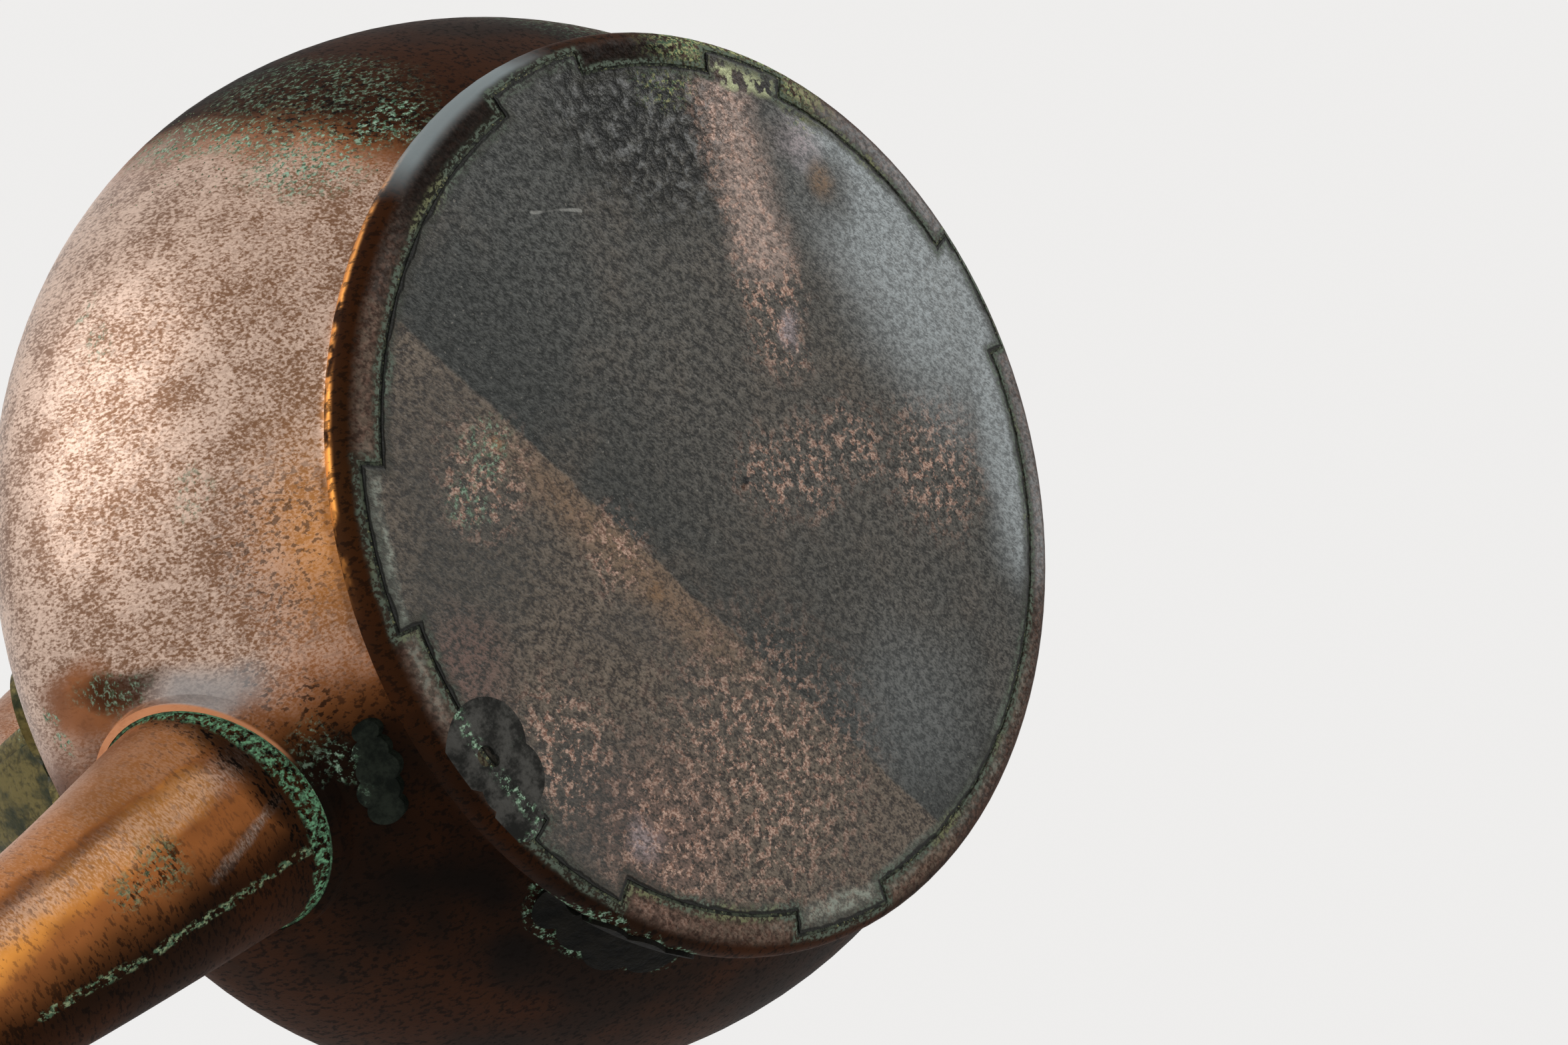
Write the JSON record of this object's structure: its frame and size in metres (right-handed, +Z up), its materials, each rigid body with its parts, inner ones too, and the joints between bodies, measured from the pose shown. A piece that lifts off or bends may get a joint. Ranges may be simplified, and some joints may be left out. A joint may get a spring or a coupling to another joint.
{
  "type": "kettle",
  "caption": "Old stovetop kettle of raised copper with a cramped-in base, gooseneck spout, cast brass handle brackets, tubular bail handle and loose domed lid.",
  "frame": {"origin": "centre of the round base plate, on the flat face that the kettle stands on", "axes": "+Z up out of the base, +X toward the spout, +Y to the side so that the axes are right-handed"},
  "size_m": [0.3627, 0.236, 0.2804],
  "materials": {
    "body": "worn satin copper with specks of tarnish",
    "base_plate": "heat-greyed, pitted copper",
    "base_seam_braze": "cracked dark braze with verdigris",
    "base_patch": "dull lumpy solder",
    "front_wall_solder": "dull smeared solder",
    "side_wall_solder": "dull smeared solder",
    "spout": "worn satin copper with fine scratches",
    "spout_solder": "green corroded solder",
    "front_bracket": "tarnished cast brass",
    "rear_bracket": "tarnished cast brass",
    "front_bracket_rivets": "polished by wear",
    "rear_bracket_rivets": "polished by wear",
    "handle": "dark, hand-worn copper",
    "handle_pins": "tarnished",
    "lid": "worn satin copper",
    "lid_bezel": "dull copper",
    "lid_knob": "worn turned brass",
    "knob_washer": "dull"
  },
  "bodies": {
    "root": {"body": "body", "base_plate": "base_plate", "base_seam_braze": "base_seam_braze", "base_patch": "base_patch", "front_wall_solder": "front_wall_solder", "side_wall_solder": "side_wall_solder", "spout": "spout", "spout_solder": "spout_solder", "front_bracket": "front_bracket", "rear_bracket": "rear_bracket", "front_bracket_rivets": "front_bracket_rivets", "rear_bracket_rivets": "rear_bracket_rivets", "handle": "handle", "handle_pins": "handle_pins", "lid": "lid", "lid_bezel": "lid_bezel", "lid_knob": "lid_knob", "knob_washer": "knob_washer"}
  },
  "joints": []
}
